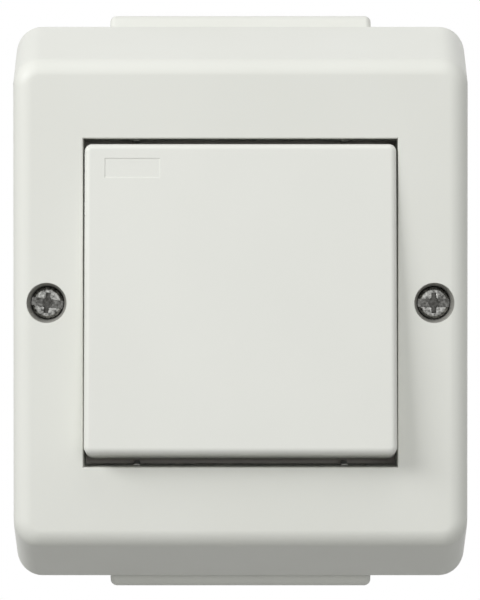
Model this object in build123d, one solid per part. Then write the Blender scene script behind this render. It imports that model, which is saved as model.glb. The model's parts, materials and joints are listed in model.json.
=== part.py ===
from build123d import *
from math import cos, radians, sin
import os

# A splash-proof wall switch for the surface of a wall, with one large two-way rocker.
# Lengths are in millimetres and angles in degrees.
# The pieces are drawn as they lie on a bench, face up: x to the right, y up the wall, z out of the wall,
# and the origin in the middle of the back. At the end they are stood upright, so the face looks along -Y.

# Rocker
rocker_width = 50.1
rocker_height = 50.3
rocker_corner = 1.2
rocker_edge = 1.0
rocker_plate = 2.0
rocker_skirt = 8.7
rocker_skirt_wall = 1.6
rocker_rib = 1.2
rocker_rib_depth = 2.4
rocker_proud = 2.7
rocker_tilt = 5.0
pivot_depth = 6.7
side_gap = 0.25
end_gap = 1.28

# Cover
side_border = 11.8
end_border = 12.27
slope_run = 6.8
side_draft = 0.5
cover_depth = 18.0
cover_wall = 2.4
cover_front_wall = 2.5
cover_corner = 4.2
cover_edge = 3.1
collar_wall = 1.5
collar_depth = 10.5
opening_edge = 0.3
band_height = 5.5
lip_wall = 1.2
lip_clearance = 0.3
cover_rib = 1.2
cover_rib_depth = 6.0
guide_rib_width = 1.0
guide_rib_depth = 0.5
guide_rib_spacing = 33.8
guide_rib_drop = 6.0

# Base box
base_depth = 28.0
base_wall = 2.4
base_floor = 2.5
base_corner = 4.0
base_draft = 0.5
side_overhang = 1.45
end_overhang = 1.9
tongue_wall = 1.0
tongue_height = 2.0
tongue_step = 1.1
tongue_clearance = 0.25
gasket_height = 1.5
gasket_clearance = 0.1
back_land = 5.0
back_recess = 0.8
knockout_radius = 10.0
knockout_groove = 0.8
fixing_hole_radius = 2.3
fixing_boss_wall = 2.2
fixing_boss_height = 2.0
fixing_inset_x = 11.25
fixing_inset_y = 8.2

# Cable entries
entry_radius = 8.25
entry_space = 2.8
entry_wall = 2.45
tab_reach = 3.95
tab_back = 3.0
tab_drop = 0.8
tab_edge = 1.0
tab_slope = 3.0
tab_lean = 2.1
grommet_flange = 1.35
grommet_flange_height = 1.5
grommet_wall = 1.4
grommet_skin = 1.0
grommet_inset = 0.8
grommet_button_radius = 3.0
grommet_button_height = 0.5
grommet_clearance = 0.05

# Cover screws and their washers
cover_screw_radius = 1.5
cover_screw_grip = 10.0
cover_screw_head_radius = 2.58
cover_screw_head_height = 2.2
cover_screw_head_edge = 0.45
well_radius = 3.25
well_floor_radius = 2.68
well_depth = 5.0
well_wall = 1.2
well_floor = 1.5
washer_height = 0.8
washer_clearance = 0.1
screw_clearance = 0.1
thread_clearance = 0.05
thread_run_out = 2.0
boss_wall = 1.4
pillar_wall = 1.7
slot_width = 1.3
slot_depth = 1.0
cross_length = 3.3
cross_width = 0.73
cross_depth = 1.3
cross_cone_radius = 0.7
left_screw_turn = -8.0
right_screw_turn = 0.0

# Switch insert
plate_thickness = 1.0
plate_margin = 0.2
plate_tongue_width = 22.0
plate_tongue_end = 4.0
plate_window_x = 12.0
plate_window_y = 14.0
insert_screw_radius = 1.5
insert_screw_grip = 8.0
insert_screw_head_radius = 2.75
insert_screw_head_height = 1.6
insert_screw_slot = 0.9
insert_screw_space = 0.6
insert_width = 44.0
insert_height = 46.0
insert_depth = 22.0
insert_floor = 2.0
insert_corner = 2.0
chamber_width = 11.0
chamber_height = 29.0
frame_plate = 3.0
frame_margin = 0.2
frame_peg_radius = 1.5
frame_peg_length = 5.0
frame_peg_inset = 4.0
frame_peg_clearance = 0.1
tower_width = 32.0
tower_depth = 18.0
tower_wall = 1.5
tower_height = 4.0
seal_flange = 1.5
seal_lip = 1.2
seal_lip_height = 2.0

# Actuator, plunger and spring
axle_radius = 2.0
axle_clearance = 0.05
axle_play = 0.3
ear_width = 3.0
ear_space = 2.0
ear_wall = 2.0
ear_mouth = 3.4
block_width = 16.0
block_depth = 10.0
block_lift = 2.0
socket_wall = 1.2
socket_depth = 2.6
socket_clearance = 0.1
plunger_radius = 2.0
plunger_clearance = 0.05
plunger_show = 2.5
plunger_pin_radius = 0.9
plunger_pin_length = 1.5
plunger_air = 0.1
stem_wall = 1.4
spring_length = 6.0
spring_radius = 1.5
spring_wire_radius = 0.2
spring_wire_sides = 6
spring_turns = 4
spring_end_clearance = 0.05
bore_end = 0.2

# Contacts and terminals
lever_ratio = 2.0
lever_width = 6.0
lever_thickness = 1.2
lever_tail = 1.8
knife_thickness = 1.2
knife_width = 4.8
knife_clearance = 0.1
contact_reach = 9.0
contact_air = 0.15
lever_tip_radius = 1.4
lever_tip_height = 0.8
fixed_tip_radius = 1.5
fixed_tip_height = 0.8
strip_width = 5.0
strip_thickness = 0.8
strip_tail = 2.6
strip_clearance = 0.2
cage_width = 7.0
cage_breadth = 7.5
cage_height = 7.0
cage_wall = 1.0
cage_clearance = 0.3
cage_head_room = 1.0
terminal_wall = 1.8
terminal_screw_radius = 1.5
terminal_screw_length = 4.4
terminal_head_radius = 2.4
terminal_head_height = 1.6
terminal_head_clearance = 0.2
terminal_slot = 0.8
wire_hole_radius = 1.8

# Plan sizes that follow from the rocker
opening_half_x = rocker_width / 2 + side_gap
opening_half_y = rocker_height / 2 + end_gap
collar_half_x = opening_half_x + collar_wall
collar_half_y = opening_half_y + collar_wall
rim_half_x = opening_half_x + side_border
crease_half_y = opening_half_y + end_border
rim_half_y = crease_half_y + slope_run
base_half_x = rim_half_x - side_overhang
base_half_y = rim_half_y - end_overhang
inner_half_x = base_half_x - base_wall
inner_half_y = base_half_y - base_wall
screw_x = (opening_half_x + rim_half_x) / 2
screw_hole_radius = cover_screw_radius + screw_clearance
boss_radius = screw_hole_radius + boss_wall
pillar_radius = cover_screw_radius + pillar_wall
tab_end_y = base_half_y + tab_reach
fixing_x = inner_half_x - fixing_inset_x
fixing_y = inner_half_y - fixing_inset_y
flange_radius = entry_radius + grommet_flange
entry_pitch = 2 * flange_radius + entry_space
tab_width = entry_pitch + 2 * entry_radius + 2 * entry_wall
plate_half_x = collar_half_x + plate_margin
plate_half_y = collar_half_y + plate_margin
insert_screw_y = plate_half_y + insert_screw_head_radius + insert_screw_space
insert_pillar_radius = insert_screw_radius + pillar_wall
plate_tongue_y = insert_screw_y + plate_tongue_end
frame_half_x = collar_half_x - frame_margin
frame_half_y = collar_half_y - frame_margin
peg_x = insert_width / 2 - frame_peg_inset
peg_y = insert_height / 2 - frame_peg_inset
ear_x = block_width / 2 + ear_space

# Levels above the wall
rim_z = base_depth
front_z = rim_z + cover_depth
well_z = front_z - well_depth
screw_seat_z = well_z + washer_height
band_z = rim_z + band_height
tongue_z = rim_z + tongue_height
groove_z = tongue_z + gasket_height
collar_z = front_z - collar_depth
seal_z = collar_z - seal_flange
frame_z = seal_z - frame_plate
plate_z = frame_z - plate_thickness
insert_z = plate_z - insert_depth
face_z = front_z + rocker_proud
under_z = face_z - rocker_plate
pivot_z = face_z - pivot_depth
block_z = seal_z + block_lift
tab_front_z = rim_z - tab_drop
entry_z = (tab_back + tab_front_z) / 2
pocket_z = insert_z + insert_floor
strip_z = pocket_z + cage_height + cage_head_room
strip_top_z = strip_z + strip_thickness
cage_mid_z = pocket_z + cage_height / 2

# The lever closes a contact at each end of its travel, and its knife edge stands high enough for that
lever_tilt = lever_ratio * rocker_tilt
tip_fall = (contact_reach + lever_tip_radius) * sin(radians(lever_tilt))
tip_hang = lever_tip_height * cos(radians(lever_tilt))
lever_z = strip_top_z + fixed_tip_height + contact_air + tip_fall + tip_hang
plunger_z = lever_z + lever_thickness + plunger_air
stem_z = plunger_z + plunger_show
bore_z = pivot_z - axle_radius - bore_end
plunger_top_z = bore_z - spring_length

# Terminals, measured from the middle of the insert
cage_outer_x = insert_width / 2 - terminal_wall - cage_clearance
cage_inner_x = cage_outer_x - cage_width
leg_x = cage_inner_x + cage_wall

# At rest the top of the rocker is pressed in and the lever has closed the lower contact
rocker_rest = Pos(0, 0, pivot_z) * Rot(-rocker_tilt, 0, 0) * Pos(0, 0, -pivot_z)
lever_rest = Pos(0, 0, lever_z) * Rot(lever_tilt, 0, 0) * Pos(0, 0, -lever_z)


def block(x0, x1, y0, y1, z0, z1):
    """Box between two corners."""
    middle = Pos((x0 + x1) / 2, (y0 + y1) / 2, (z0 + z1) / 2)
    return middle * Box(abs(x1 - x0), abs(y1 - y0), abs(z1 - z0))


def slab(half_x, half_y, z0, z1, corner=0.0):
    """Upright block about the z axis, with rounded upright corners."""
    if corner > 0:
        outline = RectangleRounded(2 * half_x, 2 * half_y, corner)
    else:
        outline = Rectangle(2 * half_x, 2 * half_y)
    return extrude(Pos(0, 0, z0) * outline, z1 - z0)


def ring(half_x, half_y, corner, wall, z0, z1):
    """Upright rounded frame of one wall thickness."""
    hole = slab(half_x - wall, half_y - wall, z0, z1, max(corner - wall, 0))
    return slab(half_x, half_y, z0, z1, corner) - hole


def wedge(plane, half_low, half_high, z0, z1, reach):
    """Bar with a symmetric four-sided profile that stands on one upright plane."""
    profile = Polyline((-half_low, z0), (half_low, z0), (half_high, z1), (-half_high, z1), close=True)
    return extrude(plane * make_face(profile), reach, both=True)


def tapered(low, high, z0, z1):
    """Block with four leaning sides, given by its half sizes at two levels."""
    across = wedge(Plane.XZ, low[0], high[0], z0, z1, max(low[1], high[1]))
    along = wedge(Plane.YZ, low[1], high[1], z0, z1, max(low[0], high[0]))
    return across & along


def round_upright(leaning, z0, z1, corner):
    """The same block with its four upright edges rounded."""
    return fillet([e for e in leaning.edges() if z0 < e.center().Z < z1], corner)


def rod(radius, z0, z1, x=0.0, y=0.0):
    """Round bar along z."""
    return Pos(x, y, (z0 + z1) / 2) * Cylinder(radius, abs(z1 - z0))


def rod_x(radius, x0, x1, y, z):
    """Round bar along x."""
    return Pos((x0 + x1) / 2, y, z) * Rot(0, 90, 0) * Cylinder(radius, abs(x1 - x0))


def rod_y(radius, y0, y1, x, z):
    """Round bar along y."""
    return Pos(x, (y0 + y1) / 2, z) * Rot(90, 0, 0) * Cylinder(radius, abs(y1 - y0))


def cover_half(z):
    """Half sizes of the cover's outside at one level, before its edges are rounded."""
    rise = (z - rim_z) / cover_depth
    return rim_half_x - side_draft * rise, rim_half_y - slope_run * rise


def make_cover():
    outside = tapered(cover_half(rim_z), cover_half(front_z), rim_z, front_z)
    outside = round_upright(outside, rim_z, front_z, cover_corner)
    outside = fillet(outside.faces().sort_by(Axis.Z)[-1].edges(), cover_edge)

    # The end walls lean, so they are measured across the slope
    lean = (cover_depth**2 + slope_run**2) ** 0.5 / cover_depth
    roof_z = front_z - cover_front_wall
    low_x, low_y = cover_half(band_z)
    high_x, high_y = cover_half(roof_z)
    hollow_low = (low_x - cover_wall, low_y - cover_wall * lean)
    hollow_high = (high_x - cover_wall, high_y - cover_wall * lean)
    hollow = tapered(hollow_low, hollow_high, band_z, roof_z)
    hollow = round_upright(hollow, band_z, roof_z, cover_corner - cover_wall)

    # The thick rim band holds the gasket groove, which the box's tongue enters
    groove_half_x = base_half_x - tongue_step + tongue_clearance
    groove_half_y = base_half_y - tongue_step + tongue_clearance
    groove_wall = tongue_wall + 2 * tongue_clearance
    groove_corner = base_corner - tongue_step + tongue_clearance
    groove = ring(groove_half_x, groove_half_y, groove_corner, groove_wall, rim_z, groove_z)
    lip_half_x = groove_half_x - groove_wall
    lip_half_y = groove_half_y - groove_wall
    lip_relief = slab(lip_half_x, lip_half_y, rim_z, rim_z + lip_clearance, groove_corner - groove_wall)
    mouth = slab(lip_half_x - lip_wall, lip_half_y - lip_wall, rim_z, band_z)

    collar = slab(collar_half_x, collar_half_y, collar_z, front_z - cover_front_wall / 2)
    ribs = Part()
    for side in (-1, 1):
        for end in (-1, 1):
            x = side * guide_rib_spacing / 2
            rib = block(x - cover_rib / 2, x + cover_rib / 2, 0, end * rim_half_y,
                        roof_z - cover_rib_depth, roof_z)
            ribs += rib & hollow
    bosses = Part()
    holes = Part()
    for side in (-1, 1):
        x = side * screw_x
        bosses += rod(well_radius + well_wall, well_z - well_floor, roof_z, x)
        bosses += rod(boss_radius, rim_z, well_z, x)
        holes += rod(screw_hole_radius, rim_z, well_z, x)
        holes += Pos(x, 0, (well_z + front_z) / 2) * Cone(well_floor_radius, well_radius, well_depth)
    opening = slab(opening_half_x, opening_half_y, collar_z, front_z)

    cover = outside - hollow - mouth - lip_relief + collar + ribs
    cover = cover + bosses - groove - holes - opening
    front_lines = cover.faces().sort_by(Axis.Z)[-1].edges().filter_by(GeomType.LINE)
    opening_lines = front_lines.sort_by_distance((0, 0, front_z))[:4]
    cover = fillet(opening_lines, opening_edge)

    # Small guide ribs keep the rocker clear of the ends of the opening
    for side in (-1, 1):
        for end in (-1, 1):
            x = side * guide_rib_spacing / 2
            near_y = end * (opening_half_y - guide_rib_depth)
            far_y = end * (opening_half_y + collar_wall / 2)
            cover += block(x - guide_rib_width / 2, x + guide_rib_width / 2, near_y, far_y,
                           collar_z, front_z - guide_rib_drop)
    return cover


def make_base_box():
    back_half = (base_half_x - base_draft, base_half_y - base_draft)
    box = tapered(back_half, (base_half_x, base_half_y), 0, rim_z)
    box = round_upright(box, 0, rim_z, base_corner)
    lean_y = tab_end_y - tab_slope
    lean_z = tab_front_z - tab_lean
    profile = Polyline((-tab_end_y, tab_back), (tab_end_y, tab_back), (tab_end_y, lean_z),
                       (lean_y, tab_front_z), (-lean_y, tab_front_z), (-tab_end_y, lean_z), close=True)
    bar = extrude(Plane.YZ * make_face(profile), tab_width / 2, both=True)
    box += fillet(bar.edges(), tab_edge)
    box -= slab(inner_half_x, inner_half_y, base_floor, rim_z, base_corner - base_wall)
    box += ring(base_half_x - tongue_step, base_half_y - tongue_step, base_corner - tongue_step,
                tongue_wall, rim_z, tongue_z)

    recess = slab(back_half[0] - back_land, back_half[1] - back_land, 0, back_recess, base_corner)
    fixing_boss_radius = fixing_hole_radius + fixing_boss_wall
    for x in (-fixing_x, fixing_x):
        for y in (-fixing_y, fixing_y):
            recess -= rod(fixing_boss_radius, 0, back_recess, x, y)
            box += rod(fixing_boss_radius, base_floor, base_floor + fixing_boss_height, x, y)
    knockout = rod(knockout_radius, back_recess, back_recess + knockout_groove)
    knockout -= rod(knockout_radius - knockout_groove, back_recess, back_recess + knockout_groove)
    box = box - recess - knockout

    for side in (-1, 1):
        x = side * screw_x
        box += rod(pillar_radius, base_floor, rim_z, x)
        box -= rod(cover_screw_radius + thread_clearance,
                   rim_z - cover_screw_grip - thread_run_out, rim_z, x)
        y = side * insert_screw_y
        box += rod(insert_pillar_radius, base_floor, plate_z, 0, y)
        box -= rod(insert_screw_radius + thread_clearance,
                   plate_z - insert_screw_grip - thread_run_out, plate_z, 0, y)
    for x in (-fixing_x, fixing_x):
        for y in (-fixing_y, fixing_y):
            box -= rod(fixing_hole_radius, 0, base_floor + fixing_boss_height, x, y)
    for x in (-entry_pitch / 2, entry_pitch / 2):
        for end in (-1, 1):
            box -= rod_y(entry_radius, end * inner_half_y, end * tab_end_y, x, entry_z)
    return box


def make_cover_gasket():
    half_x = base_half_x - tongue_step + tongue_clearance - gasket_clearance
    half_y = base_half_y - tongue_step + tongue_clearance - gasket_clearance
    corner = base_corner - tongue_step + tongue_clearance - gasket_clearance
    wall = tongue_wall + 2 * (tongue_clearance - gasket_clearance)
    return ring(half_x, half_y, corner, wall, tongue_z, groove_z)


def make_cover_screw(x, turn):
    head_z = screw_seat_z + cover_screw_head_height
    head = rod(cover_screw_head_radius, screw_seat_z, head_z)
    head = chamfer(head.edges().sort_by(Axis.Z)[-1:], cover_screw_head_edge)
    slot = block(-cover_screw_head_radius, cover_screw_head_radius, -slot_width / 2, slot_width / 2,
                 head_z - slot_depth, head_z)
    cross = block(-cross_width / 2, cross_width / 2, -cross_length / 2, cross_length / 2,
                  head_z - cross_depth, head_z)
    point = Pos(0, 0, head_z - cross_depth - cross_cone_radius / 2) * Rot(180, 0, 0)
    cone = point * Cone(cross_cone_radius, 0, cross_cone_radius)
    tip_z = rim_z - cover_screw_grip
    shank = rod(cover_screw_radius, tip_z, screw_seat_z)
    return Pos(x, 0, 0) * Rot(0, 0, turn) * (head - slot - cross - cone + shank)


def make_cover_screws():
    return make_cover_screw(-screw_x, left_screw_turn) + make_cover_screw(screw_x, right_screw_turn)


def make_screw_washers():
    washers = Part()
    for x in (-screw_x, screw_x):
        disc = rod(well_floor_radius - washer_clearance, well_z, screw_seat_z, x)
        washers += disc - rod(screw_hole_radius, well_z, screw_seat_z, x)
    return washers


def make_grommets(end):
    """Two closed cable entries: a flange inside the box, a neck in the hole and a thin skin outside."""
    grommets = Part()
    flange_y = end * (inner_half_y - grommet_flange_height)
    skin_y = end * (tab_end_y - grommet_inset)
    hollow_y = end * (tab_end_y - grommet_inset - grommet_skin)
    button_y = end * (tab_end_y - grommet_inset + grommet_button_height)
    neck_radius = entry_radius - grommet_clearance
    for x in (-entry_pitch / 2, entry_pitch / 2):
        grommet = rod_y(flange_radius, flange_y, end * inner_half_y, x, entry_z)
        grommet += rod_y(neck_radius, end * inner_half_y, skin_y, x, entry_z)
        grommet += rod_y(grommet_button_radius, hollow_y, button_y, x, entry_z)
        grommet -= rod_y(neck_radius - grommet_wall, flange_y, hollow_y, x, entry_z)
        grommets += grommet
    return grommets


def make_support_plate():
    plate = slab(plate_half_x, plate_half_y, plate_z, frame_z)
    plate += slab(plate_tongue_width / 2, plate_tongue_y, plate_z, frame_z)
    plate -= slab(plate_window_x / 2, plate_window_y / 2, plate_z, frame_z)
    for y in (-insert_screw_y, insert_screw_y):
        plate -= rod(insert_screw_radius + screw_clearance, plate_z, frame_z, 0, y)
    for x in (-peg_x, peg_x):
        for y in (-peg_y, peg_y):
            plate -= rod(frame_peg_radius + frame_peg_clearance, plate_z, frame_z, x, y)
    return plate


def make_insert_screws():
    screws = Part()
    head_z = frame_z + insert_screw_head_height
    for y in (-insert_screw_y, insert_screw_y):
        screw = rod(insert_screw_head_radius, frame_z, head_z, 0, y)
        screw -= block(-insert_screw_head_radius, insert_screw_head_radius,
                       y - insert_screw_slot / 2, y + insert_screw_slot / 2,
                       head_z - insert_screw_slot, head_z)
        screw += rod(insert_screw_radius, plate_z - insert_screw_grip, frame_z, 0, y)
        screws += screw
    return screws


def make_bearing_frame():
    frame = slab(frame_half_x, frame_half_y, frame_z, seal_z)
    frame += ring(tower_width / 2, tower_depth / 2, 0, tower_wall, seal_z, seal_z + tower_height)
    ear_half_y = axle_radius + ear_wall
    for side in (-1, 1):
        frame += block(side * ear_x, side * (ear_x + ear_width), -ear_half_y, ear_half_y,
                       seal_z, pivot_z + ear_half_y)
    frame -= rod_x(axle_radius + axle_clearance, -tower_width / 2, tower_width / 2, 0, pivot_z)
    frame -= block(-tower_width / 2, tower_width / 2, -ear_mouth / 2, ear_mouth / 2,
                   pivot_z, pivot_z + ear_half_y)
    frame -= slab(plate_window_x / 2, plate_window_y / 2, frame_z, seal_z)
    for x in (-peg_x, peg_x):
        for y in (-peg_y, peg_y):
            frame += rod(frame_peg_radius, plate_z - frame_peg_length, frame_z, x, y)
    return frame


def make_rocker_seal():
    flange = slab(frame_half_x, frame_half_y, seal_z, collar_z)
    flange -= slab(tower_width / 2, tower_depth / 2, seal_z, collar_z)
    lip = ring(tower_width / 2 + seal_lip, tower_depth / 2 + seal_lip, 0, seal_lip,
               collar_z, seal_z + seal_lip_height + seal_flange)
    return flange + lip


def make_rocker():
    half_x = rocker_width / 2
    half_y = rocker_height / 2
    low_z = face_z - rocker_skirt
    cap = slab(half_x, half_y, low_z, face_z, rocker_corner)
    cap = fillet(cap.faces().sort_by(Axis.Z)[-1].edges(), rocker_edge)
    cap -= slab(half_x - rocker_skirt_wall, half_y - rocker_skirt_wall, low_z, under_z)
    socket_half_x = block_width / 2 + socket_clearance + socket_wall
    socket_half_y = block_depth / 2 + socket_clearance + socket_wall
    cap += ring(socket_half_x, socket_half_y, 0, socket_wall, under_z - socket_depth, under_z)
    for side in (-1, 1):
        for end in (-1, 1):
            cap += block(side * socket_half_x, side * (socket_half_x - rocker_rib),
                         end * socket_half_y, end * (half_y - rocker_skirt_wall),
                         under_z - rocker_rib_depth, under_z)
    return rocker_rest * cap


def make_actuator():
    axle_half = ear_x + ear_width - axle_play
    actuator = slab(block_width / 2, block_depth / 2, block_z, under_z)
    actuator += rod_x(axle_radius, -axle_half, axle_half, 0, pivot_z)
    actuator += rod(plunger_radius + plunger_clearance + stem_wall, stem_z, block_z)
    actuator -= rod(plunger_radius + plunger_clearance, stem_z, bore_z)
    return rocker_rest * actuator


def make_plunger():
    nose_z = plunger_z + plunger_radius
    plunger = rod(plunger_radius, nose_z, plunger_top_z)
    plunger += Pos(0, 0, nose_z) * Sphere(plunger_radius)
    plunger += rod(plunger_pin_radius, plunger_top_z, plunger_top_z + plunger_pin_length)
    return rocker_rest * plunger


def make_plunger_spring():
    rise = spring_length - 2 * (spring_wire_radius + spring_end_clearance)
    coil = Helix(pitch=rise / spring_turns, height=rise, radius=spring_radius)
    section = Plane(origin=coil @ 0, z_dir=coil % 0) * RegularPolygon(spring_wire_radius, spring_wire_sides)
    wire = sweep(section, path=coil, is_frenet=True)
    return rocker_rest * Pos(0, 0, plunger_top_z + spring_wire_radius + spring_end_clearance) * wire


def make_contact_lever():
    half_y = contact_reach + lever_tip_radius + lever_tail
    lever = slab(lever_width / 2, half_y, lever_z, lever_z + lever_thickness)
    groove_radius = knife_thickness / 2 + knife_clearance
    lever -= rod_x(groove_radius, -lever_width / 2, lever_width / 2, 0, lever_z)
    return lever_rest * lever


def make_lever_contact_tips():
    tips = Part()
    for y in (-contact_reach, contact_reach):
        tips += rod(lever_tip_radius, lever_z - lever_tip_height, lever_z, 0, y)
    return lever_rest * tips


def make_fixed_contact_tips():
    tips = Part()
    for y in (-contact_reach, contact_reach):
        tips += rod(fixed_tip_radius, strip_top_z, strip_top_z + fixed_tip_height, 0, y)
    return tips


def make_strip(side, y):
    """Brass strip on the chamber floor, with a leg that goes down into the terminal on one side."""
    low_y = y - strip_width / 2
    high_y = y + strip_width / 2
    end_x = side * (leg_x + strip_thickness)
    run = block(-side * strip_tail, end_x, low_y, high_y, strip_z, strip_top_z)
    leg = block(side * leg_x, end_x, low_y, high_y, pocket_z + cage_clearance, strip_top_z)
    return run + leg


def make_common_contact():
    knife = block(-knife_width / 2, knife_width / 2, -knife_thickness / 2, knife_thickness / 2,
                  strip_z, lever_z)
    edge = rod_x(knife_thickness / 2, -knife_width / 2, knife_width / 2, 0, lever_z)
    return make_strip(-1, 0) + knife + edge


# Each terminal by its side and its place up the wall
terminals = [(1, contact_reach), (1, -contact_reach), (-1, 0)]


def make_insert_body():
    body = slab(insert_width / 2, insert_height / 2, insert_z, plate_z, insert_corner)
    body -= slab(chamber_width / 2, chamber_height / 2, strip_z, plate_z)
    for side, y in terminals:
        pocket_half_y = cage_breadth / 2 + cage_clearance
        channel_half_y = strip_width / 2 + strip_clearance
        body -= block(side * (cage_inner_x - cage_clearance), side * (cage_outer_x + cage_clearance),
                      y - pocket_half_y, y + pocket_half_y, pocket_z, plate_z)
        body -= block(0, side * cage_outer_x, y - channel_half_y, y + channel_half_y, strip_z, plate_z)
        body -= rod_x(terminal_head_radius + terminal_head_clearance,
                      side * cage_outer_x, side * insert_width / 2, y, cage_mid_z)
        wire_x = side * (cage_inner_x + cage_outer_x) / 2
        body -= rod(wire_hole_radius, insert_z, pocket_z, wire_x, y)
    for x in (-peg_x, peg_x):
        for y in (-peg_y, peg_y):
            body -= rod(frame_peg_radius + frame_peg_clearance, plate_z - frame_peg_length, plate_z, x, y)
    return body


def make_terminal_clamps():
    clamps = Part()
    for side, y in terminals:
        clamp = block(side * cage_inner_x, side * cage_outer_x, y - cage_breadth / 2, y + cage_breadth / 2,
                      pocket_z, pocket_z + cage_height)
        clamp -= block(side * (cage_inner_x + cage_wall), side * (cage_outer_x - cage_wall),
                       y - cage_breadth / 2 + cage_wall, y + cage_breadth / 2 - cage_wall,
                       pocket_z, pocket_z + cage_height)
        clamp -= rod_x(terminal_screw_radius + thread_clearance,
                       side * (cage_outer_x - cage_wall), side * cage_outer_x, y, cage_mid_z)
        clamps += clamp
    return clamps


def make_terminal_screws():
    screws = Part()
    for side, y in terminals:
        head_x = cage_outer_x + terminal_head_height
        screw = rod_x(terminal_head_radius, side * cage_outer_x, side * head_x, y, cage_mid_z)
        screw -= block(side * (head_x - terminal_slot), side * head_x,
                       y - terminal_head_radius, y + terminal_head_radius,
                       cage_mid_z - terminal_slot / 2, cage_mid_z + terminal_slot / 2)
        screw += rod_x(terminal_screw_radius, side * (cage_outer_x - terminal_screw_length),
                       side * cage_outer_x, y, cage_mid_z)
        screws += screw
    return screws


pieces = {
    "base_box": make_base_box(),
    "cover": make_cover(),
    "cover_gasket": make_cover_gasket(),
    "cover_screws": make_cover_screws(),
    "screw_washers": make_screw_washers(),
    "upper_grommets": make_grommets(1),
    "lower_grommets": make_grommets(-1),
    "support_plate": make_support_plate(),
    "insert_screws": make_insert_screws(),
    "insert_body": make_insert_body(),
    "bearing_frame": make_bearing_frame(),
    "rocker_seal": make_rocker_seal(),
    "rocker": make_rocker(),
    "actuator": make_actuator(),
    "plunger": make_plunger(),
    "plunger_spring": make_plunger_spring(),
    "contact_lever": make_contact_lever(),
    "lever_contact_tips": make_lever_contact_tips(),
    "fixed_contact_tips": make_fixed_contact_tips(),
    "upper_contact": make_strip(1, contact_reach),
    "lower_contact": make_strip(1, -contact_reach),
    "common_contact": make_common_contact(),
    "terminal_clamps": make_terminal_clamps(),
    "terminal_screws": make_terminal_screws(),
}

os.makedirs("parts", exist_ok=True)
for name, piece in pieces.items():
    export_step(Plane.XZ * piece, f"parts/{name}.step")
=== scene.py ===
import json
from math import asin, cos, pi, radians, sin, tan

import bmesh
import bpy
from bpy.props import FloatProperty, FloatVectorProperty, IntProperty, PointerProperty
from mathutils import Matrix, Vector


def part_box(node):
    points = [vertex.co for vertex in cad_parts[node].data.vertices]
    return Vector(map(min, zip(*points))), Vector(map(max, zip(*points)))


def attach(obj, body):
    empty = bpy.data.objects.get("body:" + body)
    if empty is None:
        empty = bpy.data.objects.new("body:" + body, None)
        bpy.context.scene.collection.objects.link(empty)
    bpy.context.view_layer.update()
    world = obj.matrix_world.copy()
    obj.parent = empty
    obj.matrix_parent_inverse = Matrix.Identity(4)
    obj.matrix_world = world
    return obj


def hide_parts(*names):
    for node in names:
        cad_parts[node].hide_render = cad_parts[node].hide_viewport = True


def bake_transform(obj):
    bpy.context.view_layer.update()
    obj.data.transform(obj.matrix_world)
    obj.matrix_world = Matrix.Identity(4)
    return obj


bl_info = {
    "name": "Wall switch",
    "version": (1, 0, 0),
    "blender": (4, 5, 0),
    "location": "3D View > Sidebar > Wall switch",
    "description": "Models and finishes a splash-proof wall switch round its construction frame",
    "category": "Object",
}

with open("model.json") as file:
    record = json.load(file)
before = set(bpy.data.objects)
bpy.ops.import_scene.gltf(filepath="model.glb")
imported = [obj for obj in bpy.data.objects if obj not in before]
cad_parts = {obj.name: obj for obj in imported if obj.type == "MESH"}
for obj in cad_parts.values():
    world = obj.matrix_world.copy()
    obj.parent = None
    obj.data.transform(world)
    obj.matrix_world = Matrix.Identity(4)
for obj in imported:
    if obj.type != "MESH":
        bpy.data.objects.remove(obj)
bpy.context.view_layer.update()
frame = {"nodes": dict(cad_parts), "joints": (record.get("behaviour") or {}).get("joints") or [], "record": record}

# Millimetres are used wherever a size is written, and metres everywhere else
MM = 0.001

# How finely round shapes are divided
EDGE_STEPS = 10
SMALL_EDGE_STEPS = 5
WORN_EDGE_STEPS = 2
TURN_STEPS = 96
SMALL_TURN_STEPS = 64
WIND_STEPS = 32
WIRE_SIDES = 12

# An edge that turns by more than this is seen as a sharp line
SHARP_TURN = radians(38)

# An edge lies at a level if it keeps to it this closely
LEVEL_TOLERANCE = 0.01 * MM

# Points of a turned or a carved shape that lie closer than this are made one
TURNED_MERGE = 0.001 * MM
CARVED_MERGE = 0.0005 * MM

# Cutting shapes reach this far past the surface that they open: small ones less, a second cut by a hair
PAST = 1.0 * MM
SMALL_PAST = 0.2 * MM
HAIR = 0.01 * MM

# Added shapes reach this far into what they join: a second one less, so that no faces fall together
INTO = 0.5 * MM
LESS_INTO = 0.4 * MM

# How far the roughness wanders from its middle, on a moulded skin and on a metal plate
SKIN_SPREAD = 0.04
PLATE_SMOOTHER = 0.08
PLATE_ROUGHER = 0.12

# Scratches on metal are drawn out along x
SCRATCH_STRETCH = (0.15, 1.0, 1.0)

# Levels and outlines that come from the frame
cover_low, cover_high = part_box("cover")
base_low, base_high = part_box("base_box")
seal_low, seal_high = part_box("rocker_seal")
screw_low, screw_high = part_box("cover_screws")
washer_low, washer_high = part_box("screw_washers")
pillar_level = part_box("support_plate")[1].y
joints = {joint["name"]: joint for joint in frame["joints"]}
rocker_pivot = Vector(joints["rocker_tilt"]["pos_m"])
tilt_start, tilt_end = joints["rocker_tilt"]["range_deg"]
rocker_rest_tilt = -radians(tilt_end - tilt_start) / 2
plunger_axis = Vector(joints["plunger_slide"]["axis"]).normalized()
fixing = next(mount for mount in frame["record"]["mounts"] if mount["name"] == "wall_fixing")["dims"]


def linear_colour(code):
    """The linear colour of a six-digit sRGB hex value."""
    parts = [int(code[i:i + 2], 16) / 255 for i in (0, 2, 4)]
    return tuple(c / 12.92 if c <= 0.04045 else ((c + 0.055) / 1.055) ** 2.4 for c in parts)


def tones(*codes):
    """The linear colours of several hex values."""
    return [linear_colour(code) for code in codes]


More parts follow.
